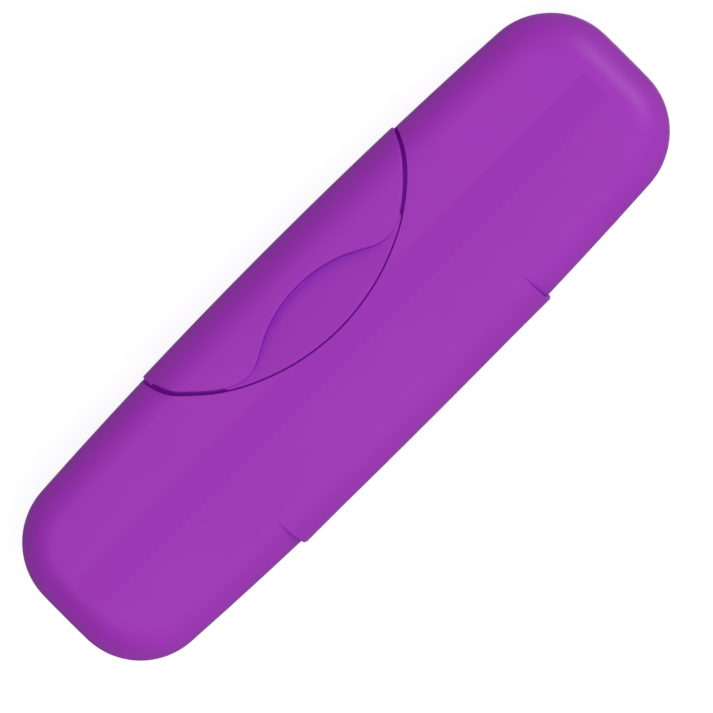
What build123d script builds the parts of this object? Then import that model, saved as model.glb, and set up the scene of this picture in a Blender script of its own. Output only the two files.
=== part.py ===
from build123d import *
import math
import os

# Travel toothbrush sanitizer: a slim clamshell case with a UV lamp under the brush head.
# X runs along the case (lamp and brush head at +X), Y across it (latch at -Y, hinge at +Y),
# Z up. Origin: centre of the flat underside. Millimetres.

os.makedirs("parts", exist_ok=True)

# ---------------------------------------------------------------- driving dimensions
HALF_L = 108.0          # half length of the case
HALF_W = 31.5           # half width of the shells at mid length
H = 33.0                # closed height
SPLIT_Z = 17.5          # parting plane between base and lid
SIDE_R = 1530.0         # plan radius of the gently bowed long sides
END_R = 620.0           # plan radius of the ends
CORNER_R = 21.0         # plan corner radius
CROWN_R = 420.0         # crown of the lid across the case
TOP_R = 10.5            # edge round of the lid
BOT_R = 9.0             # edge round of the base
WALL = 2.0              # shell wall
SKIN = 1.0              # depth of the outer skin that rims and hinge bands keep
PART_GAP = 0.15         # gap between the rims
PIN_PLAY = 0.04         # radial play of the pins in the shells
SEAT_GAP = 0.02         # gap under seated parts and screw heads

FAR = 300.0             # half size of slabs that span the whole case
CLEAR = 60.0            # reach of cuts that run out past the case
SIDES = (-1, 1)

# Hinge
HINGE_Y = 30.8
HINGE_Z = SPLIT_Z
BARREL_R = 1.2
HINGE_PIN_R = 0.5
BAND_X = 46.9           # half length of the raised band over the hinge
BAND_W = 32.1           # half width of the case at that band
BAND_SIDE_R = 3000.0    # the band is straighter than the sides
LID_KNUCKLE = 36.9      # half length of the long lid knuckle
BASE_KNUCKLE_IN = 37.2
BASE_KNUCKLE_OUT = 47.0
KNUCKLE_GAP = 0.3       # radial clearance around a knuckle
WEB_H = 2.4             # height of the webs that carry the knuckles
NOTCH_X = 47.3          # half length of the notch around the knuckles
NOTCH_H = 2.2           # reach of that notch above and below the hinge axis

# Latch
FLAP_OUT = 0.6          # latch flap stands this proud of the shells
FLAP_IN = -0.9          # underside of the flap's thin part
TONGUE_IN = -2.5        # underside of its thicker part behind and beside the scoop
TONGUE_Y = -22.5        # where that thicker part starts
TONGUE_X = 33.5         # half length of the scooped part
TONGUE_GAP = 0.4        # gap between the scooped part and the lid
LATCH_DX = -1.9         # the flap sits this far off the middle of the case
POCKET_OFF = -2.8       # floor of the flap's pocket in the lid
PAD_OFF = -3.7          # inside of the lid behind that pocket
FLAP_LOW_Z = 20.8       # lower edge of the flap's skirt
POCKET_LOW_Z = 19.2     # lower ledge of the pocket
PIV_Y, PIV_Z = -27.9, 21.2   # latch pivot
LATCH_PIN_R = 0.8
LATCH_BORE_X = 38.0     # half length of the pin's bore
LUG_X = 30.0            # the flap's two legs sit at +/- this
LUG_W = 5.0
SCOOP_R = 590.0         # finger scoop, a shallow spherical dish
SCOOP_RHO = 63.3        # radius of the circle where the dish meets the lid
SCOOP_STEP = 0.12       # small step at the dish's edge
CATCH_Y, CATCH_Z, CATCH_R = -29.9, 14.4, 0.4   # wires that hold the legs' barbs
EAR_IN, EAR_OUT = 3.3, 6.4   # wall blocks beside each leg that carry a wire, from the leg's middle

# Lid liner
LINER_OFF = PAD_OFF - 0.3    # outside of the liner
LINER_IN = PAD_OFF - 1.5     # inside of the liner
LINER_TOP = H + LINER_OFF    # outside of the liner's ceiling
LINER_SCREWS = [(-84.0, -9.0), (-84.0, 9.0), (16.0, 12.0), (-30.0, 12.0)]

# Inner tray
DECK_Z = 17.0           # top of the tray
DECK_T = 1.4
DECK_UNDER = DECK_Z - DECK_T
TROUGH_Z = 14.8         # handle trough floor, top face
WINDOW_Z = 7.85         # floor of the lamp well, under the window
TRAY_WALL = 1.2
TROUGH_X0, TROUGH_X1 = -101.0, 30.0
WELL_X0, WELL_X1 = 29.0, 101.0
TRAY_Y = 12.8           # half width of trough and well
CLIP_Z = 21.3           # brush handle axis
TRAY_SCREWS = [(-93.0, -18.5), (-93.0, 18.5), (-44.0, -20.5),
               (34.0, 20.5), (93.0, -18.5), (93.0, 18.5)]

# Circuit board and controls
BOARD_Z = 6.6           # top of the board's standoffs
BOARD_TOP = BOARD_Z + 1.0
MOUNT_Z = BOARD_TOP + SEAT_GAP   # underside of the parts on the board
BOARD_SCREWS = [(-29.5, -20.5), (-29.5, 20.5), (22.5, -20.5), (22.5, 20.5)]
BUTTON_XY = (-6.0, 20.0)
LED_XY = (8.0, 20.0)
INTERLOCK_XY = (8.0, -19.6)
PLUNGER_Z = DECK_Z - 3.9         # underside of the interlock plunger's flange

# Battery bay and door
BAY_X0, BAY_X1, BAY_Y = -88.0, -36.2, 11.6
BAY_WALL = 1.2
DOOR_X0, DOOR_X1, DOOR_Y = -87.8, -36.9, 11.2
DOOR_GAP = 0.25
DOOR_AX, DOOR_AZ = -38.2, 1.35   # door hinge axis
CELL_X, CELL_Y, CELL_Z = -62.4, 5.6, 8.0
CELL_R, CELL_L = 5.2, 43.2
CELL_SHIFT = 1.6        # each cell sits this far off CELL_X, away from its spring

LAMP_Z = 4.7            # lamp axis

# Outlines over the top, (x, y) for x >= 0 from the middle of the latch; the rest is mirrored.
RECESS = [     # edge of the recess in the lid
    (0, -2.4), (9.0, -3.1), (17.9, -5.0), (24.6, -7.4), (31.1, -10.5),
    (37.5, -14.8), (43.1, -19.8), (47.0, -25.0), (49.0, -30.2), (49.7, -34.0)]
FLAP_LINE = [  # rounded edge line of the flap with its finger notch
    (0, -19.3), (5.0, -18.95), (10.0, -17.95), (15.0, -16.2), (19.2, -14.1),
    (23.0, -12.1), (26.6, -11.35), (30.2, -12.0), (33.6, -13.7), (37.4, -16.5),
    (41.2, -20.1), (44.5, -24.0), (47.0, -28.6), (48.1, -33.0)]
FLAP_EDGE = 0.35        # the flap's wall stands this far outside its edge line


# ---------------------------------------------------------------- helpers
def span(side, near, far):
    """Ordered interval between two distances on one side (-1 or 1) of zero."""
    return sorted((side * near, side * far))


def about(centre, half):
    """Interval of the given half width about a centre."""
    return centre - half, centre + half


def box(x0, x1, y0, y1, z0, z1):
    return Pos((x0 + x1) / 2, (y0 + y1) / 2, (z0 + z1) / 2) * Box(x1 - x0, y1 - y0, z1 - z0)


def slab(z0, z1):
    """Everything between two heights."""
    return box(-FAR, FAR, -FAR, FAR, z0, z1)


def rod_x(r, x0, x1, y, z):
    return Pos((x0 + x1) / 2, y, z) * Rot(0, 90, 0) * Cylinder(r, x1 - x0)


def rod_y(r, y0, y1, x, z):
    return Pos(x, (y0 + y1) / 2, z) * Rot(90, 0, 0) * Cylinder(r, y1 - y0)


def rod_z(r, z0, z1, x, y):
    return Pos(x, y, (z0 + z1) / 2) * Cylinder(r, z1 - z0)


def rounded_box(x0, x1, y0, y1, z0, z1, r):
    """Box with rounded upright edges."""
    return fillet(box(x0, x1, y0, y1, z0, z1).edges().filter_by(Axis.Z), r)


def one(shape):
    """The largest solid of a shape, so that a piece holds no stray bits."""
    return sorted(shape.solids(), key=lambda s: s.volume)[-1]


def circles(shape):
    return shape.edges().filter_by(GeomType.CIRCLE)


def circles_above(shape, z):
    return [e for e in circles(shape) if e.center().Z > z]


def add_boss(shape, x, y, body, hole):
    """Add an upright boss and drill it; body and hole are (radius, z0, z1)."""
    return shape + rod_z(*body, x, y) - rod_z(*hole, x, y)


def cut_cross(screw, x, y, half_slot, z0, z1):
    """Cut a cross recess into a screw head."""
    screw -= box(*about(x, 1.2), *about(y, half_slot), z0, z1)
    return screw - box(*about(x, half_slot), *about(y, 1.2), z0, z1)


def pan_screw(x, y, z, length, r=0.9, head_r=2.0, head_h=1.2):
    """Upright screw with its head standing on height z."""
    top = z + head_h
    screw = rod_z(r, z - length, z + 0.1, x, y) + rod_z(head_r, z, top, x, y)
    screw = fillet(circles_above(screw, z + head_h / 2), 0.5)
    return one(cut_cross(screw, x, y, 0.25, top - 0.55, top + 1))


def coil(radius, height, turns, wire_r):
    """Helical spring standing on the origin."""
    path = Helix(pitch=height / turns, height=height, radius=radius)
    profile = Plane(origin=path @ 0, z_dir=path % 0) * Circle(wire_r)
    return sweep(profile, path=path, is_frenet=True)


def grow(points, distance):
    """Half outline moved outward along its normals."""
    grown = []
    for i, (x, y) in enumerate(points):
        xa, ya = points[max(i - 1, 0)]
        xb, yb = points[min(i + 1, len(points) - 1)]
        tx, ty = (1.0, 0.0) if i == 0 else (xb - xa, yb - ya)
        norm = math.hypot(tx, ty)
        grown.append((x - distance * ty / norm, y + distance * tx / norm))
    return grown


def latch_prism(half, z0, tail_x, tail_y=-42.0):
    """Upright prism over a smooth symmetric outline, closed by straight lines past the -Y side."""
    points = [(-x, y) for x, y in reversed(half[1:])] + list(half)
    face = make_face(Wire([
        Spline(*points, tangents=[(0.18, 1.0), (0.18, -1.0)]),
        Line(points[-1], (tail_x, tail_y)),
        Line((tail_x, tail_y), (-tail_x, tail_y)),
        Line((-tail_x, tail_y), points[0]),
    ]))
    return extrude(Pos(LATCH_DX, 0, z0) * face, CLEAR - z0)


# ---------------------------------------------------------------- outside form of the case
def plan(off, half_w=HALF_W, side_r=SIDE_R):
    """Plan outline offset outward by off: bowed sides, nearly flat ends, round corners."""
    rs, re = side_r + off, END_R + off
    cy, cx = half_w - side_r, HALF_L - END_R
    # home in on the corner where the side arc and the end arc cross
    x = HALF_L
    for _ in range(60):
        y = cy + math.sqrt(rs * rs - x * x)
        x = cx + math.sqrt(re * re - y * y)
    a, b, c, d = (x, y), (-x, y), (-x, -y), (x, -y)
    face = make_face(Wire([
        ThreePointArc(a, (0, cy + rs), b),
        ThreePointArc(b, (-(cx + re), 0), c),
        ThreePointArc(c, (0, -(cy + rs)), d),
        ThreePointArc(d, (cx + re, 0), a),
    ]))
    return fillet(face.vertices(), CORNER_R + off)


def crown_and_round(body, off, crown_top):
    """Crown the top of an upright body and round its top and bottom edges."""
    crown = Pos(0, 0, crown_top - CROWN_R) * Rot(0, 90, 0) * Cylinder(CROWN_R + off, 400)
    body = one(body & crown)
    body = fillet(body.faces().sort_by(Axis.Z)[-1].edges(), TOP_R + off)
    body = fillet(body.faces().sort_by(Axis.Z)[0].edges(), BOT_R + off)
    return one(body)


def pillow(off):
    """The closed case's outside, offset by off: flat underside, crowned top, rounded edges."""
    z0 = -off
    return crown_and_round(extrude(Pos(0, 0, z0) * plan(off), H + 3 - z0), off, H)


OUTER = pillow(0)
INNER = pillow(-WALL)
UNDER_SKIN = pillow(-SKIN)
# raised band over the hinge: nothing at the crown, full height at the side
BAND = crown_and_round(extrude(plan(0, BAND_W, BAND_SIDE_R), H + 3), 0, H - 0.02)


def add_knuckle(shell, x0, x1, web_z0, web_z1):
    """Add a hinge barrel and the web that carries it."""
    shell = shell + rod_x(BARREL_R, x0, x1, HINGE_Y, HINGE_Z)
    return shell + box(x0, x1, HINGE_Y - BARREL_R, HINGE_Y - 0.2, web_z0, web_z1)


def hinge_bore():
    return rod_x(HINGE_PIN_R + PIN_PLAY, -CLEAR, CLEAR, HINGE_Y, HINGE_Z)


# ---------------------------------------------------------------- base shell
def add_base_hinge(base):
    """Band, notch and two end knuckles."""
    band = BAND & box(-BAND_X, BAND_X, 24.0, CLEAR, 6.0, HINGE_Z - WEB_H)
    base = base + (band - UNDER_SKIN)
    base -= box(-NOTCH_X, NOTCH_X, HINGE_Y - 0.3, CLEAR, HINGE_Z - NOTCH_H, HINGE_Z + 5)
    base -= rod_x(BARREL_R + KNUCKLE_GAP, *about(0, LID_KNUCKLE + 0.25), HINGE_Y, HINGE_Z)
    for side in SIDES:
        x0, x1 = span(side, BASE_KNUCKLE_IN, BASE_KNUCKLE_OUT)
        base = add_knuckle(base, x0, x1, HINGE_Z - WEB_H, HINGE_Z)
    return base - hinge_bore()


def add_catches(base):
    """A slot in the latch-side wall for each leg, with ears drilled for the catch wire."""
    for side in SIDES:
        x = side * LUG_X
        base -= box(*about(x, EAR_IN), -30.5, -27.0, 10.6, SPLIT_Z + 3)
        base = base + (box(x - EAR_OUT, x - EAR_IN, -30.6, -28.6, 12.6, 16.2)
                       + box(x + EAR_IN, x + EAR_OUT, -30.6, -28.6, 12.6, 16.2))
        base -= rod_x(CATCH_R + 0.03, *about(x, 5.6), CATCH_Y, CATCH_Z)
    return base


def add_battery_bay(base):
    """Bay walls, then the door opening with its hinge bosses and finger notch."""
    bay = box(BAY_X0 - BAY_WALL, BAY_X1 + BAY_WALL, *about(0, BAY_Y + BAY_WALL), 1.0, 13.4)
    bay -= box(BAY_X0, BAY_X1, -BAY_Y, BAY_Y, 0, 20)
    bay -= box(BAY_X0 - 3, BAY_X0 + 1, -8.5, 8.5, 0, 3.8)
    bay -= box(BAY_X1 - 1, BAY_X1 + 3, -6.5, 6.5, 9.5, 20)
    base = base + bay

    open_x0, open_x1, open_y = DOOR_X0 - DOOR_GAP, DOOR_X1 + DOOR_GAP, DOOR_Y + DOOR_GAP
    base -= rounded_box(open_x0, open_x1, -open_y, open_y, -1, 2.6, 1.4)
    base -= box(DOOR_AX - 4, open_x1, -open_y, open_y, -1, 2.9)
    for side in SIDES:
        base = base + box(*about(DOOR_AX, 2.4), *span(side, open_y, DOOR_Y + 3.4), 0.6, 3.6)
    base -= rod_y(0.87, *about(0, DOOR_Y + 2.2), DOOR_AX, DOOR_AZ)
    # finger notch at the door's free end
    return base - Pos(DOOR_X0 - 0.2, 0, -4.4) * Sphere(6.0)


def base_shell():
    base = (OUTER & slab(-10, SPLIT_Z)) - INNER
    # inner lip that keeps the light in, standing inside the lid's rim
    lip = (pillow(-1.15) - INNER) & slab(SPLIT_Z - 0.6, SPLIT_Z + 1.6)
    lip -= box(-48.6, 48.6, 20, CLEAR, 0, CLEAR)
    lip -= box(-54.4, 54.4, -CLEAR, -20, 0, CLEAR)
    base = add_base_hinge(base + lip)
    base = add_catches(base)
    base = add_battery_bay(base)
    for x, y in BOARD_SCREWS:
        base = add_boss(base, x, y, (2.4, 1.0, BOARD_Z), (0.85, 3.0, BOARD_Z + 1))
    for x, y in TRAY_SCREWS:
        base = add_boss(base, x, y, (2.7, 1.0, DECK_UNDER - 0.05), (0.95, 7.0, DECK_Z))
    return one(base)


def catch_wires():
    """Springy cross wires that the legs' barbs snap under."""
    return [rod_x(CATCH_R, *about(side * LUG_X, 5.4), CATCH_Y, CATCH_Z) for side in SIDES]


# ---------------------------------------------------------------- lid shell
def add_latch_mounts(lid):
    """Slots for the flap's legs, pin bosses either side of each leg and room for the springs."""
    skin = OUTER - UNDER_SKIN
    for side in SIDES:
        slot = box(*about(side * LUG_X, LUG_W / 2 + 0.4), -40, -22.0, SPLIT_Z - 1, 26.2)
        lid -= slot - skin
    for side in SIDES:
        for near, far in ((19.2, 23.2), (33.4, 37.4)):
            x0, x1 = span(side, near, far)
            lid = lid + rod_x(1.9, x0, x1, PIV_Y, PIV_Z)
            lid = lid + box(x0, x1, PIV_Y - 0.5, PIV_Y + 1.9, PIV_Z - 1.9, PIV_Z + 3.2)
    lid -= rod_x(LATCH_PIN_R + PIN_PLAY, -LATCH_BORE_X, LATCH_BORE_X, PIV_Y, PIV_Z)
    for side in SIDES:
        lid -= rod_x(1.75, *span(side, 23.2, 27.2), PIV_Y, PIV_Z)
        lid -= box(*span(side, 23.2, 24.1), PIV_Y - 1.75, PIV_Y, PIV_Z, PIV_Z + 4.6)
    return lid


def add_lid_hinge(lid):
    """Band, notch and the long middle knuckle."""
    band = BAND & box(-BAND_X, BAND_X, 16.0, CLEAR, HINGE_Z + NOTCH_H, CLEAR)
    lid = lid + (band - UNDER_SKIN)
    lid -= box(-NOTCH_X, NOTCH_X, HINGE_Y - 0.3, CLEAR, HINGE_Z - 5, HINGE_Z + NOTCH_H)
    for side in SIDES:
        x0, x1 = span(side, LID_KNUCKLE + 0.05, BASE_KNUCKLE_OUT + 0.3)
        lid -= rod_x(BARREL_R + KNUCKLE_GAP, x0, x1, HINGE_Y, HINGE_Z)
    lid = add_knuckle(lid, -LID_KNUCKLE, LID_KNUCKLE, HINGE_Z, HINGE_Z + WEB_H)
    return lid - hinge_bore()


def lid_shell():
    # the wall is thicker behind the flap's pocket
    pad = latch_prism(grow(RECESS, 2.2), SPLIT_Z, 52.0) - pillow(PAD_OFF)
    cavity = INNER - pad
    rim_relief = UNDER_SKIN & slab(0, SPLIT_Z + 1.8)
    rim_relief -= box(-54.0, 54.0, -CLEAR, -19, 0, CLEAR)
    lid = (OUTER & slab(SPLIT_Z + PART_GAP, CLEAR)) - cavity - rim_relief
    # pocket that holds the flap
    lid -= latch_prism(RECESS, POCKET_LOW_Z, 50.2) - pillow(POCKET_OFF)
    lid = add_latch_mounts(lid)
    lid = add_lid_hinge(lid)
    for x, y in LINER_SCREWS:
        lid = add_boss(lid, x, y, (2.6, LINER_TOP + 0.05, H - 1.0),
                       (0.95, LINER_TOP - 1, H - 1.1))
    return one(lid)


# ---------------------------------------------------------------- latch
def latch_flap():
    prism = latch_prism(grow(FLAP_LINE, FLAP_EDGE), FLAP_LOW_Z, 49.4)
    proud = pillow(FLAP_OUT)
    deep = pillow(TONGUE_IN)
    thick = box(*about(LATCH_DX, TONGUE_X), TONGUE_Y, 0, 25, CLEAR)
    flap = (proud - pillow(FLAP_IN)) & prism
    flap = flap + ((proud - deep) & prism & thick)
    # finger scoop: a dish beside the raised part, almost flush with the lid at its outer edge
    dish_z = H - SCOOP_STEP + math.sqrt(SCOOP_R ** 2 - SCOOP_RHO ** 2)
    dish = Pos(LATCH_DX, RECESS[0][1] - SCOOP_RHO, dish_z) * Sphere(SCOOP_R)
    tongue_prism = latch_prism(grow(RECESS, -TONGUE_GAP), FLAP_LOW_Z, 49.6)
    tongue = (((OUTER & thick) - deep) & tongue_prism) - dish
    flap = one(flap + tongue)
    # legs that hang from the pivot, each with a barb at its foot
    for side in SIDES:
        x0, x1 = about(side * LUG_X, LUG_W / 2)
        arm = box(x0, x1, -30.95, PIV_Y, PIV_Z - 0.4, PIV_Z + 1.6)
        hub = rod_x(1.7, x0, x1, PIV_Y, PIV_Z)
        leg = box(x0, x1, -28.7, -26.8, 12.5, PIV_Z)
        barb_face = make_face(Polyline(
            (-26.8, 12.3), (-28.7, 12.3), (-30.1, 13.1),
            (-30.1, 13.9), (-28.7, 13.9), (-26.8, 13.9), close=True))
        barb = extrude(Plane.YZ.offset(x0) * barb_face, LUG_W)
        flap = flap + arm + hub + leg + barb
    flap -= rod_x(LATCH_PIN_R + 0.05, -LATCH_BORE_X, LATCH_BORE_X, PIV_Y, PIV_Z)
    # holes for the spring tangs
    for side in SIDES:
        flap -= rod_x(0.24, *span(side, 27.0, 28.6), PIV_Y, PIV_Z - 1.3)
    return one(flap)


def latch_pin():
    return rod_x(LATCH_PIN_R, -37.2, 37.2, PIV_Y, PIV_Z)


def latch_springs():
    """Torsion springs beside the legs: one arm up the wall, a tang into the leg."""
    radius, wire_r, height = 1.3, 0.18, 2.7
    springs = []
    for side in SIDES:
        arm = Pos(radius, -1.9, 0) * Rot(90, 0, 0) * Cylinder(wire_r, 3.8)
        tang = Pos(0, radius, height + 0.75) * Cylinder(wire_r, 1.9)
        spring = coil(radius, height, 5.25, wire_r) + arm + tang
        spring = Pos(23.75, PIV_Y, PIV_Z) * (Rot(0, 90, 0) * Rot(0, 0, -90) * spring)
        springs.append(one(spring if side > 0 else mirror(spring, about=Plane.YZ)))
    return springs


def hinge_pin():
    pin = rod_x(HINGE_PIN_R, -46.6, 46.6, HINGE_Y, HINGE_Z)
    return chamfer(circles(pin), 0.15)


# ---------------------------------------------------------------- lid liner
def lid_liner():
    liner_in = pillow(LINER_IN)
    liner = (pillow(LINER_OFF) - liner_in) & slab(SPLIT_Z + 1.0, CLEAR)
    flange = (pillow(-WALL - 0.12) - liner_in) & slab(SPLIT_Z + 2.0, SPLIT_Z + 3.1)
    flange -= box(-53.5, 53.5, -CLEAR, -17, 0, CLEAR)
    liner = liner + flange
    # clearances for latch legs and hinge
    for side in SIDES:
        liner -= box(*about(side * LUG_X, 8.6), -CLEAR, -22.4, 0, 27.2)
    liner -= box(-25, 25, -CLEAR, -24.6, 0, 25.5)
    liner -= box(-48.2, 48.2, HINGE_Y - BARREL_R - 0.6, CLEAR, 0, SPLIT_Z + 4.6)
    # post that holds the interlock plunger down while the lid is shut
    liner = liner + rod_z(2.0, SPLIT_Z + 1.0, LINER_TOP - 0.6, *INTERLOCK_XY)
    for x, y in LINER_SCREWS:
        liner -= rod_z(1.05, 20, CLEAR, x, y)
    return one(liner)


def liner_screws():
    """Screws driven upward, heads under the liner's ceiling."""
    head_top = LINER_TOP - 1.55
    screws = []
    for x, y in LINER_SCREWS:
        screw = rod_z(0.9, head_top - 0.1, head_top + 3.0, x, y)
        screw = screw + rod_z(1.9, head_top - 1.1, head_top, x, y)
        screws.append(one(cut_cross(screw, x, y, 0.22, head_top - 1.2, head_top - 0.5)))
    return screws


def lid_reflector():
    """Polished sheet in the lid over the brush head."""
    sheet = pillow(PAD_OFF - 1.56) - pillow(PAD_OFF - 1.86)
    return one(sheet & rounded_box(34, 96, -15, 15, 24, 40, 3.0))


# ---------------------------------------------------------------- inner tray
def inner_tray():
    in_r = 5.0
    out_r = in_r + TRAY_WALL
    out_y = TRAY_Y + TRAY_WALL
    deck = pillow(-WALL - 0.25) & slab(DECK_UNDER, DECK_Z)
    trough_out = rounded_box(TROUGH_X0 - TRAY_WALL, TROUGH_X1, -out_y, out_y,
                             TROUGH_Z - TRAY_WALL, DECK_Z, out_r)
    trough_in = rounded_box(TROUGH_X0, TROUGH_X1 + 6, -TRAY_Y, TRAY_Y,
                            TROUGH_Z, DECK_Z + 5, in_r)
    well_out = rounded_box(WELL_X0 - TRAY_WALL, WELL_X1 + TRAY_WALL, -out_y, out_y,
                           WINDOW_Z - 0.9, DECK_Z, out_r)
    well_in = rounded_box(WELL_X0, WELL_X1, -TRAY_Y, TRAY_Y, WINDOW_Z, DECK_Z + 5, in_r)
    tray = deck + trough_out + well_out - trough_in - well_in
    # opening under the lamp window
    tray -= rounded_box(35.5, 94.5, -8.6, 8.6, 0, WINDOW_Z + 1, 2.0)
    # shallow finger dip on both sides of the trough so that the handle can be lifted out
    dip = Pos(-40, 0, DECK_Z + 12.0) * Rot(90, 0, 0) * Cylinder(22.0, 44.0)
    tray -= dip - box(-FAR, FAR, -out_y, out_y, 0, CLEAR) - slab(0, DECK_Z - 0.8)
    # clearances for latch legs and hinge
    for side in SIDES:
        tray -= box(*about(side * LUG_X, 6.8), -CLEAR, -22.6, 0, CLEAR)
    tray -= box(-48.4, 48.4, HINGE_Y - BARREL_R - 0.6, CLEAR, HINGE_Z - 4.6, CLEAR)
    # holes for button, lens, plunger and screws
    tray -= rod_z(4.3, 0, CLEAR, *BUTTON_XY)
    tray -= rod_z(1.7, 0, CLEAR, *LED_XY)
    tray -= rod_z(1.85, 0, CLEAR, *INTERLOCK_XY)
    for x, y in TRAY_SCREWS:
        tray -= rod_z(1.15, 10, CLEAR, x, y)
    return one(tray)


def tray_screws():
    return [pan_screw(x, y, DECK_Z + SEAT_GAP, 8.0) for x, y in TRAY_SCREWS]


def brush_clips():
    """Soft cradles for the brush handle."""
    clips = []
    for x in (-72.0, 2.0):
        clip = rounded_box(*about(x, 4), -10.0, 10.0, TROUGH_Z + 0.05, CLIP_Z + 2.2, 1.5)
        clip -= rod_x(6.2, *about(x, 10), 0, CLIP_Z)
        clip -= box(*about(x, 10), -5.7, 5.7, CLIP_Z, CLIP_Z + 10)
        clips.append(one(clip))
    return clips


# ---------------------------------------------------------------- lamp
def lamp_window():
    return rounded_box(33.0, 97.0, -10.6, 10.6, WINDOW_Z + 0.03, WINDOW_Z + 1.1, 2.5)


def lamp_guard():
    """Plate over the window with two rows of slots."""
    slot_pitch, slot_l = 8.57, 6.6
    guard = rounded_box(31.0, 99.0, -11.8, 11.8, WINDOW_Z + 1.15, WINDOW_Z + 2.1, 3.5)
    for i in range(7):
        x = 36.0 + i * slot_pitch
        for side in SIDES:
            guard -= rounded_box(x, x + slot_l, *span(side, 0.7, 9.6), 0, 40, 1.6)
    return one(guard)


def uv_lamp():
    lamp = rod_x(1.9, 42.0, 90.0, 0, LAMP_Z)
    return fillet(circles(lamp), 1.2)


def lamp_end_caps():
    # columns: cap x0, x1, contact pin x0, x1
    return [one(rod_x(2.2, cap_x0, cap_x1, 0, LAMP_Z) + rod_x(0.5, pin_x0, pin_x1, 0, LAMP_Z))
            for cap_x0, cap_x1, pin_x0, pin_x1 in ((37.2, 41.98, 35.4, 37.2),
                                                   (90.02, 94.8, 94.8, 96.6))]


def lamp_mounts():
    """Open-topped saddles under the end caps."""
    mounts = []
    for x in (38.8, 93.2):
        mount = rounded_box(*about(x, 1.3), -4.2, 4.2, 2.05, 6.85, 0.8)
        mount -= rod_x(2.24, *about(x, 5), 0, LAMP_Z)
        mount -= box(*about(x, 5), -1.5, 1.5, LAMP_Z, 12)
        mounts.append(one(mount))
    return mounts


def lamp_reflector():
    """Bent trough under the tube."""
    profile = make_face(Polyline(   # (y, z)
        (-11.0, 6.4), (-7.0, 3.3), (-4.6, 2.1), (4.6, 2.1), (7.0, 3.3), (11.0, 6.4),
        (10.8, 6.72), (6.8, 3.65), (4.5, 2.5), (-4.5, 2.5), (-6.8, 3.65), (-10.8, 6.72),
        close=True))
    return one(extrude(Plane.YZ.offset(42.6) * profile, 46.8))


# ---------------------------------------------------------------- circuit board and its parts
def circuit_board():
    board = rounded_box(-33.0, 25.0, -24.0, 24.0, BOARD_Z + SEAT_GAP, BOARD_TOP, 2.0)
    for x, y in BOARD_SCREWS:
        board -= rod_z(1.2, 0, 20, x, y)
    return one(board)


def board_screws():
    return [pan_screw(x, y, MOUNT_Z, 3.6, r=0.8, head_r=1.8, head_h=1.0)
            for x, y in BOARD_SCREWS]


def inverter_transformer():
    core = box(9.0, 21.0, -10.5, -0.5, MOUNT_Z, BOARD_TOP + 5.2)
    window = box(11.0, 19.0, -11, 0, BOARD_TOP + 1.2, BOARD_TOP + 4.2)
    core -= window - box(9, 21, -7.0, -4.0, 0, 40)
    middle = box(11.0, 19.0, -7, -4, BOARD_TOP + 1.0, BOARD_TOP + 4.4)
    winding = rounded_box(11.2, 18.8, -10.0, -1.0, BOARD_TOP + 1.25, BOARD_TOP + 4.15, 1.0)
    return one(core + middle + winding)


def control_chip():
    chip = rounded_box(-18.0, -10.0, -4.0, 4.0, BOARD_TOP + 0.3, BOARD_TOP + 1.9, 0.4)
    for i in range(4):
        x = i * 1.9
        for side in SIDES:
            y0, y1 = span(side, 3.8, 5.4)
            chip = chip + box(-17.2 + x, -16.6 + x, y0, y1, MOUNT_Z, BOARD_TOP + 0.75)
    return one(chip)


def capacitors():
    cans = [rod_z(2.4, MOUNT_Z, BOARD_TOP + 5.2, x, -8.0) for x in (-4.0, 2.5)]
    return [fillet(circles(can), 0.35) for can in cans]


def resistors():
    # columns: centre x, y, size along x, y, top above the board
    table = [(-5, 6, 3.2, 1.6, 0.7), (0, 6, 3.2, 1.6, 0.7), (5, 6, 3.2, 1.6, 0.7),
             (-24, -8, 2, 3.4, 1.0), (-24, 8, 2, 3.4, 1.0), (16, 6, 4.6, 3.0, 1.4),
             (-16, 12, 3.2, 1.6, 0.7), (-16, -12, 3.2, 1.6, 0.7)]
    return [box(*about(x, size_x / 2), *about(y, size_y / 2), MOUNT_Z, BOARD_TOP + top)
            for x, y, size_x, size_y, top in table]


def tact_switch():
    """Push switch under the power button."""
    x, y = BUTTON_XY
    body = rounded_box(*about(x, 3), *about(y, 3), MOUNT_Z, BOARD_TOP + 3.4, 0.5)
    return one(body + rod_z(1.7, BOARD_TOP + 3, BOARD_TOP + 4.4, x, y))


def power_button():
    """Dished cap with a retaining flange and a stem down to the switch."""
    x, y = BUTTON_XY
    low, top = DECK_Z - 2.7, DECK_Z + 1.2
    button = rod_z(4.0, low, top, x, y)
    button = fillet(circles_above(button, DECK_Z), 0.8)
    button -= Pos(x, y, top + 11.6) * Sphere(12.0)
    button = button + rod_z(4.9, low, DECK_UNDER - 0.1, x, y)
    return one(button + rod_z(1.6, BOARD_TOP + 5.3, DECK_Z - 2, x, y))


def indicator_led():
    x, y = LED_XY
    dome_z = BOARD_TOP + 2.6
    led = rod_z(1.5, MOUNT_Z, dome_z, x, y) + Pos(x, y, dome_z) * Sphere(1.5)
    led = led & box(*about(x, 3), *about(y, 3), MOUNT_Z, BOARD_TOP + 5)
    return one(led + rod_z(1.8, MOUNT_Z, BOARD_TOP + 0.7, x, y))


def indicator_lens():
    lens = rod_z(1.6, BOARD_TOP + 4.4, DECK_Z + 0.25, *LED_XY)
    lens = lens + rod_z(2.3, DECK_UNDER - 0.9, DECK_UNDER - 0.1, *LED_XY)
    return one(fillet(circles_above(lens, DECK_Z), 0.3))


# ---------------------------------------------------------------- lid interlock
def interlock_switch():
    x, y = INTERLOCK_XY
    return one(rounded_box(*about(x, 4), *about(y, 2.5), MOUNT_Z, BOARD_TOP + 3.2, 0.4))


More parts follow.
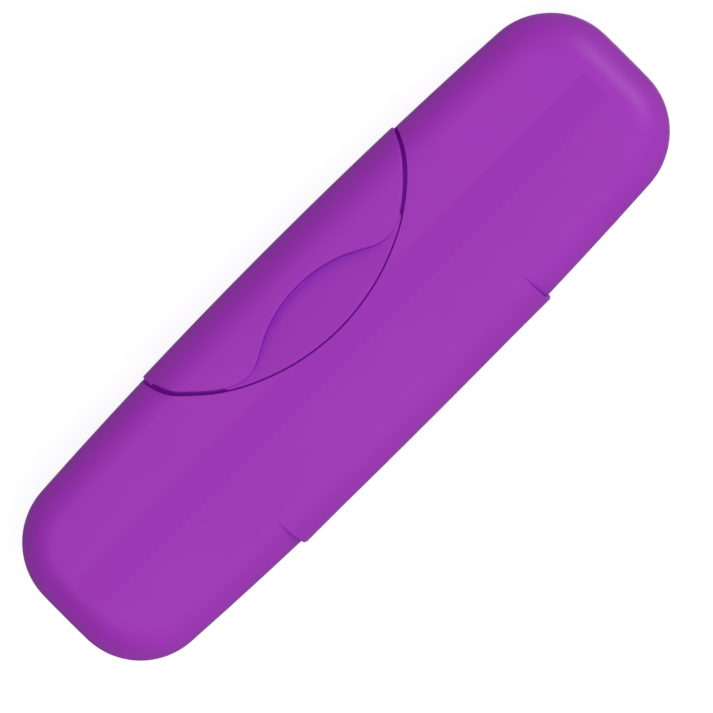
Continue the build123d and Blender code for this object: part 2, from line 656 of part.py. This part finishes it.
def interlock_plunger():
    stem_z = DECK_Z - 3.8
    plunger = rod_z(1.7, stem_z, SPLIT_Z + 0.95, *INTERLOCK_XY)
    plunger = plunger + rod_z(2.6, PLUNGER_Z, DECK_UNDER - 1.7, *INTERLOCK_XY)
    plunger = plunger + rod_z(0.7, BOARD_TOP + 3.4, stem_z, *INTERLOCK_XY)
    return one(fillet(circles_above(plunger, DECK_Z), 0.5))


def interlock_spring():
    height = PLUNGER_Z - (BOARD_TOP + 3.2) - 0.5
    return one(Pos(*INTERLOCK_XY, BOARD_TOP + 3.45) * coil(1.7, height, 2.6, 0.2))


# ---------------------------------------------------------------- batteries
def battery_cells():
    """Two cells side by side, laid opposite ways round."""
    cells = []
    for side, turn in ((1, 0), (-1, 180)):
        cell = rod_x(CELL_R, -CELL_L / 2, CELL_L / 2, 0, 0)
        cell = fillet(circles(cell), 0.5)
        cell = cell + rod_x(1.85, CELL_L / 2 - 0.1, CELL_L / 2 + 1.1, 0, 0)
        cell = Rot(0, 0, turn) * cell
        cells.append(Pos(CELL_X + side * CELL_SHIFT, -side * CELL_Y, CELL_Z) * one(cell))
    return cells


def battery_contacts():
    """One plate across the -X end, two with solder tabs at the other."""
    plates = [one(box(BAY_X0 + 0.1, BAY_X0 + 0.5, -10.6, 10.6, 4.0, 12.4))]
    for side in SIDES:
        plate = box(BAY_X1 - 0.5, BAY_X1 - 0.1, *span(side, 1.0, 10.4), 4.0, 12.4)
        tab = box(BAY_X1 - 0.5, BAY_X1 + 3.0, *span(side, 2.4, 4.6), 12.0, 12.4)
        plates.append(one(plate + tab))
    return plates


def battery_springs():
    reach = CELL_L / 2 + 0.35
    places = ((-CELL_Y, BAY_X0 + 0.8, CELL_X + CELL_SHIFT - reach),
              (CELL_Y, CELL_X - CELL_SHIFT + reach, BAY_X1 - 0.8))
    return [one(Pos(x0, y, CELL_Z) * Rot(0, 90, 0) * coil(3.0, x1 - x0, 3.2, 0.28))
            for y, x0, x1 in places]


def battery_door():
    """Door hinged at its +X end, with a hook and grip grooves at the other."""
    door = rounded_box(DOOR_X0, DOOR_AX, -DOOR_Y, DOOR_Y, 0, 1.9, 1.2)
    door = door + box(DOOR_AX - 4, DOOR_AX, -DOOR_Y, DOOR_Y, 0.05, 1.9)
    door = door + rod_y(1.3, -DOOR_Y, DOOR_Y, DOOR_AX, DOOR_AZ)
    door = door + rod_y(0.8, *about(0, DOOR_Y + 1.9), DOOR_AX, DOOR_AZ)
    door = door + box(DOOR_X0 + 0.9, DOOR_X0 + 2.1, -4.0, 4.0, 1.5, 3.1)
    for i in range(5):
        x = DOOR_X0 + 4.0 + i * 2.2
        door -= box(x, x + 1.0, -6.0, 6.0, -1, 0.35)
    return one(door)


# ---------------------------------------------------------------- wires
def battery_wires():
    # x from the bay's end, distance from the middle, z
    route = [(3.2, 3.5, 12.95), (4.6, 3.6, 12.3), (6.6, 4.6, 9.0), (8.0, 5.0, 8.25)]
    wires = []
    for side in SIDES:
        path = Spline(*[(BAY_X1 + x, side * y, z) for x, y, z in route])
        profile = Plane(origin=path @ 0, z_dir=path % 0) * Circle(0.55)
        wires.append(one(sweep(profile, path=path)))
    return wires


def bent_lead(points, r=0.4):
    """Insulated lead laid in straight runs with round bends."""
    body = None
    for i in range(len(points) - 1):
        start, end = Vector(*points[i]), Vector(*points[i + 1])
        direction = end - start
        run = Plane(origin=(start + end) * 0.5, z_dir=direction) * Cylinder(r, direction.length)
        body = run if body is None else body + run
        if i > 0:
            body = body + Pos(*points[i]) * Sphere(r)
    return one(body)


def lamp_wires():
    """One lead to the lamp's near end, one along the -Y side to its far end."""
    solder_z, edge_z = BOARD_TOP + 1.2, BOARD_TOP + 0.3
    near = [(21.5, -3.0, solder_z), (25.6, -3.0, solder_z), (26.5, -2.7, edge_z),
            (26.6, -2.4, 5.8), (27.4, -1.8, 4.95), (30.5, 0.0, LAMP_Z), (35.2, 0.0, LAMP_Z)]
    far = [(21.5, -8.0, solder_z), (25.6, -8.0, solder_z), (26.5, -8.2, edge_z),
           (26.6, -8.4, 5.0), (27.2, -8.8, 3.9), (31.0, -12.6, 3.0), (33.0, -13.6, 2.9),
           (84.0, -13.6, 2.9), (90.0, -12.6, 2.9), (96.0, -8.6, 3.2), (98.6, -4.0, 4.0),
           (98.7, -1.2, LAMP_Z), (97.9, -0.2, LAMP_Z), (97.0, 0.0, LAMP_Z)]
    return [bent_lead(near), bent_lead(far)]


# ---------------------------------------------------------------- export
# Each file takes its function's name; a list of solids becomes one compound.
for build in (
    base_shell, catch_wires, lid_shell, latch_flap, latch_pin, latch_springs, hinge_pin,
    lid_liner, lid_reflector, inner_tray, tray_screws, liner_screws, brush_clips,
    lamp_window, lamp_guard, uv_lamp, lamp_end_caps, lamp_mounts, lamp_reflector,
    circuit_board, board_screws, inverter_transformer, control_chip, capacitors, resistors,
    tact_switch, power_button, indicator_led, indicator_lens,
    interlock_switch, interlock_plunger, interlock_spring,
    battery_cells, battery_contacts, battery_springs, battery_door,
    battery_wires, lamp_wires,
):
    piece = build()
    if isinstance(piece, list):
        piece = Compound(children=piece)
    export_step(piece, f"parts/{build.__name__}.step")
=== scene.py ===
# A hinged ultraviolet case for brushes, with its lamp, circuit board, latch and batteries.
# The case lies just above z = 0 with its length along X and the battery cells towards -X.
# Units are metres, +Z is up. The pieces come from CAD; this script adds materials and a stage.
import bpy
import math
from mathutils import Vector, Matrix

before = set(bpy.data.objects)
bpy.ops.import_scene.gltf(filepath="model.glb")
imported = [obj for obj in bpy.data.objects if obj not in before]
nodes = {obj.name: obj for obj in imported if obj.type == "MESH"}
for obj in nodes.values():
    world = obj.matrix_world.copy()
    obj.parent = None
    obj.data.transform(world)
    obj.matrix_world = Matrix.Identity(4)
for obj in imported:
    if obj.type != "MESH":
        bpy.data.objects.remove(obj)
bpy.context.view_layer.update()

scene = bpy.context.scene
scene.view_settings.view_transform = "Standard"
scene.view_settings.look = "None"


# ------------------------------------------------------------------ shader helpers

def set_inputs(node, values):
    for socket, value in values.items():
        node.inputs[socket].default_value = value


def add(tree, kind, values=None, **settings):
    """Add a shader node, apply its settings, then its input values."""
    node = tree.nodes.new("ShaderNode" + kind)
    for setting, value in settings.items():
        setattr(node, setting, value)
    set_inputs(node, values or {})
    return node


def new_material(name):
    """An empty material with a Principled shader wired to its output."""
    material = bpy.data.materials.new(name)
    material.use_nodes = True
    tree = material.node_tree
    tree.nodes.clear()
    output = add(tree, "OutputMaterial")
    shader = add(tree, "BsdfPrincipled")
    tree.links.new(shader.outputs[0], output.inputs[0])
    return material, tree, shader, output


def add_noise(tree, scale, stretch=None):
    """Noise in object space; a stretch factor below 1 draws it out along that axis."""
    coords = add(tree, "TexCoord").outputs["Object"]
    texture = add(tree, "TexNoise", {"Scale": scale, "Detail": 2.0, "Roughness": 0.5})
    if stretch:
        mapping = add(tree, "Mapping", {"Scale": stretch})
        tree.links.new(coords, mapping.inputs["Vector"])
        coords = mapping.outputs[0]
    tree.links.new(coords, texture.inputs["Vector"])
    return texture


def add_bump(tree, shader, texture, strength):
    bump = add(tree, "Bump", {"Strength": strength, "Distance": 0.0002})
    tree.links.new(texture.outputs["Fac"], bump.inputs["Height"])
    tree.links.new(bump.outputs[0], shader.inputs["Normal"])


def paint_recess_shade(tree, open_color):
    """Painted shade: blend from open_color to a deeper violet where the surface is tucked in."""
    # only_local: the floor and the other pieces do not darken a piece
    occlusion = add(tree, "AmbientOcclusion", {"Distance": 0.009}, samples=8, only_local=True)
    openness = add(tree, "MapRange", {"From Min": 0.62, "From Max": 0.985})
    tree.links.new(occlusion.outputs["AO"], openness.inputs["Value"])
    mix = add(tree, "Mix", data_type="RGBA")
    factor, color_a, color_b, color_result = 0, 6, 7, 2      # socket numbers of the colour mix
    tree.links.new(openness.outputs[0], mix.inputs[factor])
    # painted shade colour: the deep violet put into creases, grooves and recesses
    mix.inputs[color_a].default_value = (0.125, 0.0, 0.30, 1)
    tree.links.new(open_color, mix.inputs[color_b])
    return mix.outputs[color_result]


# ------------------------------------------------------------------ material kinds

def surface(name, color, rough=0.4, metal=0.0, vary=0.05, patch=60.0, grain=2500.0, bump=0.02,
            rough_vary=0.06, coat=0.0, transmission=0.0, ior=1.5, sub=0.0, stretch=None,
            spec=0.5, glow=None):
    """Broad colour drift (vary, patch) with a fine grain (grain) in gloss and relief.

    patch and grain are noise scales; sub is the subsurface weight; glow is an emitted colour, a
    painted glow, and it also turns on painted recess shade.
    """
    material, tree, shader, _ = new_material(name)
    drift = add_noise(tree, patch)
    ramp = add(tree, "ValToRGB")
    dark, light = ramp.color_ramp.elements
    dark.position = 0.3
    light.position = 0.7
    dark.color = [c * (1 - vary) for c in color] + [1]
    light.color = [min(c * (1 + vary), 1) for c in color] + [1]
    tree.links.new(drift.outputs["Fac"], ramp.inputs[0])
    base = ramp.outputs[0]
    # painted light: a glow colour makes a piece that is no lamp emit faintly, and adds painted
    # shade in its recesses
    if glow:
        base = paint_recess_shade(tree, base)
        set_inputs(shader, {"Emission Color": (*glow, 1), "Emission Strength": 1.0})
    tree.links.new(base, shader.inputs["Base Color"])

    fine = add_noise(tree, grain, stretch)
    gloss = add(tree, "MapRange", {"To Min": rough - rough_vary, "To Max": rough + rough_vary})
    tree.links.new(fine.outputs["Fac"], gloss.inputs["Value"])
    tree.links.new(gloss.outputs[0], shader.inputs["Roughness"])
    add_bump(tree, shader, fine, bump)
    set_inputs(shader, {
        "Metallic": metal,
        "IOR": ior,
        "Coat Weight": coat,
        "Coat Roughness": 0.15,
        "Transmission Weight": transmission,
        "Specular IOR Level": spec,
    })
    if sub > 0:
        set_inputs(shader, {
            "Subsurface Weight": sub,
            "Subsurface Radius": (0.002, 0.002, 0.002),
            "Subsurface Scale": 0.5,
        })
    return material


def stripes(name, axis, bands, end, rough, metal):
    """Bands of colour along one object axis: (start, colour) rows, the last closing at end."""
    material, tree, shader, _ = new_material(name)
    coords = add(tree, "TexCoord")
    split = add(tree, "SeparateXYZ")
    tree.links.new(coords.outputs["Object"], split.inputs[0])
    first = bands[0][0]
    along = add(tree, "MapRange", {"From Min": first, "From Max": end})
    tree.links.new(split.outputs[axis], along.inputs["Value"])
    ramp = add(tree, "ValToRGB")
    ramp.color_ramp.interpolation = "CONSTANT"
    elements = ramp.color_ramp.elements
    for i, (start, color) in enumerate(bands):
        position = (start - first) / (end - first)
        element = elements[i] if i < 2 else elements.new(position)    # a new ramp has two
        element.position = position
        element.color = (*color, 1)
    tree.links.new(along.outputs[0], ramp.inputs[0])
    mottle = add_noise(tree, 900.0)
    mix = add(tree, "Mix", {"Factor": 0.15}, data_type="RGBA", blend_type="MULTIPLY")
    tree.links.new(ramp.outputs[0], mix.inputs["A"])
    tree.links.new(mottle.outputs["Color"], mix.inputs["B"])
    tree.links.new(mix.outputs["Result"], shader.inputs["Base Color"])
    set_inputs(shader, {"Roughness": rough, "Metallic": metal})
    add_bump(tree, shader, mottle, 0.03)
    return material


def board_material():
    """Green brick pattern with small pale dots."""
    material, tree, shader, _ = new_material("solder_mask")
    coords = add(tree, "TexCoord")
    bricks = add(tree, "TexBrick", {
        "Scale": 260.0,
        "Color1": (0.012, 0.13, 0.05, 1),
        "Color2": (0.016, 0.16, 0.06, 1),
        "Mortar": (0.03, 0.24, 0.10, 1),
        "Mortar Size": 0.03,
    })
    dots = add(tree, "TexVoronoi", {"Scale": 420.0})
    for texture in (bricks, dots):
        tree.links.new(coords.outputs["Object"], texture.inputs["Vector"])
    ramp = add(tree, "ValToRGB")
    dot, gap = ramp.color_ramp.elements
    dot.position = 0.10
    dot.color = (0.75, 0.74, 0.70, 1)
    gap.position = 0.14
    gap.color = (0, 0, 0, 1)
    tree.links.new(dots.outputs["Distance"], ramp.inputs[0])
    mix = add(tree, "Mix", {"Factor": 0.5}, data_type="RGBA", blend_type="SCREEN")
    tree.links.new(bricks.outputs["Color"], mix.inputs["A"])
    tree.links.new(ramp.outputs[0], mix.inputs["B"])
    tree.links.new(mix.outputs["Result"], shader.inputs["Base Color"])
    shader.inputs["Roughness"].default_value = 0.35
    return material


# ------------------------------------------------------------------ materials
ALONG_X = (0.05, 1, 1)              # grain drawn out along X
LONG_ALONG_X = (0.04, 1, 1)
# case and flap: real gloss and grain, plus a painted violet glow and painted recess shade
CASE_FINISH_AND_PAINTED_LIGHT = dict(rough=0.48, spec=0.35, glow=(0.060, 0.0, 0.085), vary=0.02, patch=25,
                   grain=3500, bump=0.015, rough_vary=0.03)

case = surface("case_purple", (0.275, 0.029, 0.375), **CASE_FINISH_AND_PAINTED_LIGHT)
flap_purple = surface("flap_purple", (0.272, 0.029, 0.369), **CASE_FINISH_AND_PAINTED_LIGHT)
white = surface("liner_white", (0.80, 0.80, 0.82), rough=0.42, vary=0.015, patch=30, grain=3000)
tray_white = surface("tray_white", (0.78, 0.78, 0.80), rough=0.36, vary=0.015, patch=30,
                     grain=2600)
steel = surface("ground_steel", (0.60, 0.60, 0.62), rough=0.28, metal=1.0, vary=0.06, patch=200,
                grain=900, bump=0.05, stretch=ALONG_X)
spring = surface("spring_wire", (0.56, 0.56, 0.58), rough=0.24, metal=1.0, vary=0.08, patch=500,
                 grain=4000, bump=0.03)
zinc = surface("zinc_screw", (0.66, 0.67, 0.70), rough=0.33, metal=1.0, vary=0.08, patch=400,
               grain=5000, bump=0.04)
nickel = surface("nickel_strip", (0.72, 0.69, 0.62), rough=0.26, metal=1.0, vary=0.06, patch=250,
                 grain=3000, bump=0.03)
mirror = surface("bright_sheet", (0.90, 0.90, 0.92), rough=0.09, metal=1.0, vary=0.02, patch=90,
                 grain=1200, rough_vary=0.03, stretch=LONG_ALONG_X)
aluminium = surface("rolled_aluminium", (0.84, 0.84, 0.86), rough=0.2, metal=1.0, vary=0.03,
                    patch=90, grain=1500, bump=0.04, stretch=LONG_ALONG_X)
stainless = surface("stainless_guard", (0.68, 0.68, 0.70), rough=0.3, metal=1.0, patch=120,
                    grain=1800, bump=0.05, stretch=ALONG_X)
lilac = surface("lilac_silicone", (0.46, 0.24, 0.55), rough=0.55, vary=0.03, patch=80,
                bump=0.05, sub=0.15)
grey = surface("grey_silicone", (0.62, 0.62, 0.63), rough=0.6, vary=0.03, patch=80, bump=0.05)
quartz = surface("quartz_plate", (0.93, 0.96, 1.0), rough=0.05, vary=0.01, patch=40, grain=900,
                 bump=0.004, rough_vary=0.02, transmission=0.92, ior=1.46)
tube = surface("quartz_tube", (0.80, 0.88, 1.0), rough=0.10, vary=0.03, patch=90, grain=900,
               bump=0.004, rough_vary=0.03, transmission=0.55, ior=1.46)
lens = surface("clear_lens", (0.86, 0.92, 1.0), rough=0.12, vary=0.02, patch=200, grain=1500,
               bump=0.01, rough_vary=0.03, transmission=0.6, ior=1.49)
epoxy = surface("tinted_epoxy", (0.35, 0.45, 0.95), rough=0.15, vary=0.04, patch=300,
                grain=2000, bump=0.01, transmission=0.4)
acetal = surface("white_acetal", (0.74, 0.74, 0.75), vary=0.02, patch=200, grain=3000)
black = surface("black_moulding", (0.035, 0.035, 0.038), rough=0.5, vary=0.15, patch=300,
                grain=4000, bump=0.05)
chip = surface("chip_package", (0.025, 0.025, 0.028), rough=0.55, vary=0.2, patch=500,
               grain=5000, bump=0.06)
ferrite = surface("ferrite", (0.05, 0.048, 0.046), rough=0.65, vary=0.2, patch=400, grain=4500,
                  bump=0.12)
red_lead = surface("red_lead", (0.55, 0.03, 0.03), rough=0.45, patch=200, grain=3000)
white_lead = surface("white_lead", (0.70, 0.70, 0.68), rough=0.45, vary=0.03, patch=200,
                     grain=3000)
button = surface("button_purple", (0.33, 0.03, 0.45), rough=0.3, vary=0.02, patch=60,
                 grain=3500, bump=0.015, coat=0.2)

SILVER = (0.70, 0.68, 0.66)
DARK = (0.05, 0.05, 0.06)
AMBER = (0.55, 0.35, 0.06)
CELL_BANDS = [                      # start along X, colour
    (-0.0900, SILVER), (-0.0835, DARK), (-0.0815, DARK), (-0.0655, AMBER),
    (-0.0640, DARK), (-0.0440, DARK), (-0.0420, SILVER),
]
CAN_BANDS = [                       # start along Z, colour
    (0.0070, (0.02, 0.02, 0.05)), (0.0082, (0.03, 0.05, 0.16)),
    (0.0121, (0.70, 0.70, 0.72)), (0.0124, (0.72, 0.72, 0.74)),
]
cell_sleeve = stripes("cell_sleeve", "X", CELL_BANDS, end=-0.030, rough=0.28, metal=0.35)
can_sleeve = stripes("can_sleeve", "Z", CAN_BANDS, end=0.0140, rough=0.35, metal=0.2)

PAINT = {
    "lid_shell": case, "base_shell": case, "latch_flap": flap_purple, "battery_door": case,
    "hinge_pin": steel, "latch_pin": steel, "latch_springs": spring, "catch_wires": spring,
    "lid_liner": white, "lid_reflector": mirror, "inner_tray": tray_white,
    "liner_screws": zinc, "tray_screws": zinc, "board_screws": zinc,
    "brush_clips": lilac, "lamp_window": quartz, "lamp_guard": stainless,
    "uv_lamp": tube, "lamp_end_caps": nickel, "lamp_mounts": grey, "lamp_reflector": aluminium,
    "circuit_board": board_material(), "inverter_transformer": ferrite, "control_chip": chip,
    "capacitors": can_sleeve, "resistors": black, "tact_switch": black, "power_button": button,
    "indicator_led": epoxy, "indicator_lens": lens,
    "interlock_switch": black, "interlock_plunger": acetal, "interlock_spring": spring,
    "battery_cells": cell_sleeve, "battery_contacts": nickel, "battery_springs": nickel,
    "battery_wires": red_lead, "lamp_wires": white_lead,
}
for name, piece in nodes.items():
    piece.data.materials.clear()
    piece.data.materials.append(PAINT[name])


# ------------------------------------------------------------------ latch flap

def round_flap_edges(flap):
    """Rebuild the flap as a fine even mesh, then relax it so its edges round over."""
    weld = flap.modifiers.new("weld", "WELD")
    weld.merge_threshold = 0.000002
    even = flap.modifiers.new("even", "REMESH")
    even.mode = "VOXEL"
    even.voxel_size = 0.00028
    even.adaptivity = 0.0
    even.use_smooth_shade = True
    relax = flap.modifiers.new("relax", "SMOOTH")
    relax.factor = 0.5
    relax.iterations = 8


round_flap_edges(nodes["latch_flap"])


# ------------------------------------------------------------------ floor
FLOOR_HALF = 3.0
FLOOR_Z = -0.0003


def floor_material():
    """Matt and pale; clear from below and to shadow rays, so the under fill passes through."""
    material, tree, matt, output = new_material("pale_floor")
    set_inputs(matt, {
        "Base Color": (0.80, 0.80, 0.80, 1),
        "Roughness": 0.9,
        "Specular IOR Level": 0.1,
    })
    geometry = add(tree, "NewGeometry")
    rays = add(tree, "LightPath")
    see_through = add(tree, "Math", operation="MAXIMUM")
    tree.links.new(geometry.outputs["Backfacing"], see_through.inputs[0])
    tree.links.new(rays.outputs["Is Shadow Ray"], see_through.inputs[1])
    # the glow is for the camera only, so it does not light the case
    glow = add(tree, "Emission", {"Color": (1, 1, 1, 1), "Strength": 1.2})
    glow_share = add(tree, "Math", {1: 0.72}, operation="MULTIPLY")
    tree.links.new(rays.outputs["Is Camera Ray"], glow_share.inputs[0])
    clear = add(tree, "BsdfTransparent")
    lit = add(tree, "MixShader")
    final = add(tree, "MixShader")
    for mix, sources in ((lit, (glow_share, matt, glow)), (final, (see_through, lit, clear))):
        for i, source in enumerate(sources):
            tree.links.new(source.outputs[0], mix.inputs[i])
    tree.links.new(final.outputs[0], output.inputs[0])
    return material


floor_mesh = bpy.data.meshes.new("floor")
corners = [(x * FLOOR_HALF, y * FLOOR_HALF, FLOOR_Z)
           for x, y in ((-1, -1), (1, -1), (1, 1), (-1, 1))]
floor_mesh.from_pydata(corners, [], [(0, 1, 2, 3)])
floor = bpy.data.objects.new("floor", floor_mesh)
scene.collection.objects.link(floor)
floor.data.materials.append(floor_material())
floor.visible_glossy = False

# ------------------------------------------------------------------ camera
DISTANCE = 1.6
VIEW_WIDTH = 0.1940786              # width seen at the case's mid height
MID_HEIGHT = 0.0175
SHIFT_RIGHT = 0.003056806           # aim point from the case's middle, across the view
SHIFT_UP = -0.005196298
TURN = math.radians(44.9)
TILT = math.radians(5.0)            # lean from overhead towards -X
SENSOR = 36.0                       # millimetres

# the case's -X end points up and to the right in the view
minus_x = Vector((-1, 0, 0))
minus_y = Vector((0, -1, 0))
right = (math.cos(TURN) * minus_x - math.sin(TURN) * minus_y).normalized()
back = (Vector((0, 0, 1)) * math.cos(TILT) + minus_x * math.sin(TILT)).normalized()
right = (right - back * right.dot(back)).normalized()
up = back.cross(right).normalized()
aim = Vector((0, 0, MID_HEIGHT)) + right * SHIFT_RIGHT + up * SHIFT_UP

lens_data = bpy.data.cameras.new("camera")
camera = bpy.data.objects.new("camera", lens_data)
scene.collection.objects.link(camera)
lens_data.sensor_width = SENSOR
lens_data.lens = SENSOR * DISTANCE / VIEW_WIDTH
lens_data.clip_end = 20
turn = Matrix((right, up, back)).transposed().to_4x4()
camera.matrix_world = Matrix.Translation(aim + back * DISTANCE) @ turn
scene.camera = camera

# ------------------------------------------------------------------ light
world = bpy.data.worlds.new("studio")
scene.world = world
world.use_nodes = True
set_inputs(world.node_tree.nodes["Background"], {
    "Color": (0.95, 0.96, 1.0, 1),
    "Strength": 0.16,
})


def softbox(name, at, target, size, power, shine=True):
    """A rectangular lamp facing target; shine lets it show in reflections."""
    data = bpy.data.lights.new(name, "AREA")
    data.shape = "RECTANGLE"
    data.size, data.size_y = size
    data.energy = power
    lamp = bpy.data.objects.new(name, data)
    scene.collection.objects.link(lamp)
    at = Vector(at)
    facing = (Vector(target) - at).to_track_quat("-Z", "Y").to_matrix().to_4x4()
    lamp.matrix_world = Matrix.Translation(at) @ facing
    lamp.visible_glossy = shine


CENTRE = (0, 0, 0.01)
softbox("overhead", at=(0.05, 0.3, 1.1), target=CENTRE, size=(0.8, 0.8), power=6.6, shine=False)
softbox("hinge_side", at=(0.15, 1.0, 0.75), target=CENTRE, size=(0.9, 0.6), power=2.6,
        shine=False)
softbox("near_side", at=(0.0, -0.9, 1.0), target=CENTRE, size=(0.9, 0.5), power=0.8, shine=False)
softbox("end_box", at=(-1.0, 0.1, 0.72), target=(-0.08, 0, 0.02), size=(0.6, 0.45), power=5.5)
softbox("far_glow", at=(0.55, -0.15, 1.15), target=(0.08, 0, 0.02), size=(0.3, 0.3), power=1.0)
softbox("under_fill", at=(0.0, 0.0, -0.9), target=(0, 0, 0), size=(0.8, 0.8), power=1.5)
